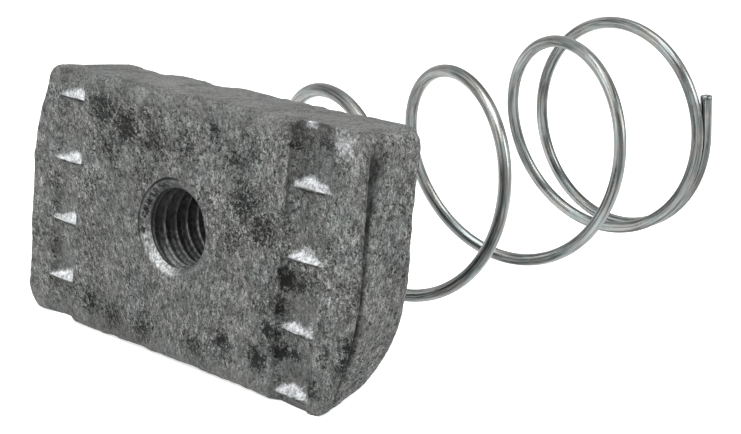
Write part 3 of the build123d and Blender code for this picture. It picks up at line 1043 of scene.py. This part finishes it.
def lay_floor():
    """White paper floor under the lowest point, with a glow that only the camera and mirror rays see."""
    floor_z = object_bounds()[0].z
    mesh = bpy.data.meshes.new("floor")
    corners = [(3.0 * x, 3.0 * y, floor_z) for x, y in ((-1, -1), (1, -1), (1, 1), (-1, 1))]
    mesh.from_pydata(corners, [], [(0, 1, 2, 3)])
    floor = put_object("floor", mesh)
    material, tree, shader = new_material("floor_paper")
    fibres = noise(tree, put(tree, "ShaderNodeTexCoord").outputs["Object"], 900.0, 3.0)
    finish = {
        "Base Color": blended(tree, fibres, (0.8, 0.8, 0.8, 1), (0.84, 0.84, 0.84, 1)),
        "Roughness": 0.9,
        "Emission Color": blended(tree, seen_directly(tree), (0, 0, 0, 1), (0.62, 0.62, 0.62, 1)),
        "Emission Strength": 1.0,
    }
    supply(tree, shader, finish)
    mesh.materials.append(material)
    floor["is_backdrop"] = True


def light_room(v):
    """A white room that lights the object dimly, and three soft lamps."""
    world = bpy.data.worlds.new("studio")
    world.use_nodes = True
    tree = world.node_tree
    strength = sloped(tree, seen_directly(tree), 1 - v.ambient, v.ambient)
    supply(tree, tree.nodes["Background"], {"Color": (1, 1, 1, 1), "Strength": strength})
    bpy.context.scene.world = world
    lamps = (
        ("key_lamp", v.key, (0.02, -0.1, 0.34), 0.26),
        ("fill_lamp", v.fill, (-0.22, -0.3, 0.12), 0.3),
        ("rim_lamp", v.rim, (0.3, 0.1, 0.22), 0.18),
    )
    for name, watts, spot, width in lamps:
        data = bpy.data.lights.new(name, "AREA")
        data.energy, data.size = watts, width
        lamp = put_object(name, data)
        lamp.location = spot
        lamp.rotation_euler = (Vector((0.005, 0.01, 0)) - Vector(spot)).to_track_quat("-Z", "Y").to_euler()


def aim_camera(v):
    """The camera, looking at its target from its azimuth and elevation, turned by its roll."""
    a, e, r = v.azimuth, v.elevation, v.roll
    back = Vector((math.sin(a) * math.cos(e), -math.cos(a) * math.cos(e), math.sin(e)))
    right = Vector((math.cos(a), math.sin(a), 0))
    up = back.cross(right)
    across = right * math.cos(r) + up * math.sin(r)
    upright = up * math.cos(r) - right * math.sin(r)
    data = bpy.data.cameras.new("camera")
    data.lens, data.sensor_width, data.clip_start = v.lens, 36.0, 0.001
    camera = put_object("camera", data)
    turned = Matrix((across, upright, back)).transposed().to_4x4()
    camera.matrix_world = Matrix.Translation(Vector(v.target) + back * v.distance) @ turned
    bpy.context.scene.camera = camera
    bpy.context.scene.view_settings.view_transform = "Standard"


class STRUT_OT_nut(bpy.types.Operator):
    """Build the toothed nut and its thread"""

    bl_idname = "strut.nut"
    bl_label = "Nut"

    def execute(self, context):
        piece = build_nut(context.scene.strut_nut)
        piece.data.materials.append(galvanised(context.scene.strut_finish))
        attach(piece, "root")
        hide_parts("channel_nut")
        return {"FINISHED"}


class STRUT_OT_claws(bpy.types.Operator):
    """Build the three claws that hold the spring"""

    bl_idname = "strut.claws"
    bl_label = "Claws"

    def execute(self, context):
        piece = build_claws(context.scene.strut_nut, context.scene.strut_spring)
        piece.data.materials.append(galvanised(context.scene.strut_finish))
        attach(piece, "root")
        return {"FINISHED"}


class STRUT_OT_spring(bpy.types.Operator):
    """Build the wire spring"""

    bl_idname = "strut.spring"
    bl_label = "Spring"

    def execute(self, context):
        piece = build_spring(context.scene.strut_nut, context.scene.strut_spring)
        piece.data.materials.append(bright_wire(context.scene.strut_finish))
        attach(piece, "root")
        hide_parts("spring")
        return {"FINISHED"}


class STRUT_OT_stage(bpy.types.Operator):
    """Build the floor, the lamps and the camera"""

    bl_idname = "strut.stage"
    bl_label = "Stage"

    def execute(self, context):
        lay_floor()
        light_room(context.scene.strut_studio)
        aim_camera(context.scene.strut_studio)
        return {"FINISHED"}


class STRUT_PT_panel(bpy.types.Panel):
    """List the pieces"""

    bl_idname = "STRUT_PT_panel"
    bl_label = "Strut Spring Nut"
    bl_space_type = "VIEW_3D"
    bl_region_type = "UI"
    bl_category = "Strut Nut"

    def draw(self, context):
        for operator in OPERATORS:
            self.layout.operator(operator.bl_idname)
        for name in SETTINGS:
            group = getattr(context.scene, name)
            box = self.layout.box()
            for field in group.__annotations__:
                box.prop(group, field)


OPERATORS = (STRUT_OT_nut, STRUT_OT_claws, STRUT_OT_spring, STRUT_OT_stage)
SETTINGS = {
    "strut_nut": NutSizes,
    "strut_spring": SpringSizes,
    "strut_finish": Finishes,
    "strut_studio": StudioValues,
}
CLASSES = (*SETTINGS.values(), *OPERATORS, STRUT_PT_panel)


def register():
    for item in CLASSES:
        bpy.utils.register_class(item)
    for name, group in SETTINGS.items():
        setattr(bpy.types.Scene, name, PointerProperty(type=group))


def unregister():
    for name in SETTINGS:
        delattr(bpy.types.Scene, name)
    for item in reversed(CLASSES):
        bpy.utils.unregister_class(item)


def main():
    register()
    bpy.ops.strut.nut()
    bpy.ops.strut.claws()
    bpy.ops.strut.spring()
    bpy.ops.strut.stage()


if __name__ == "__main__":
    main()
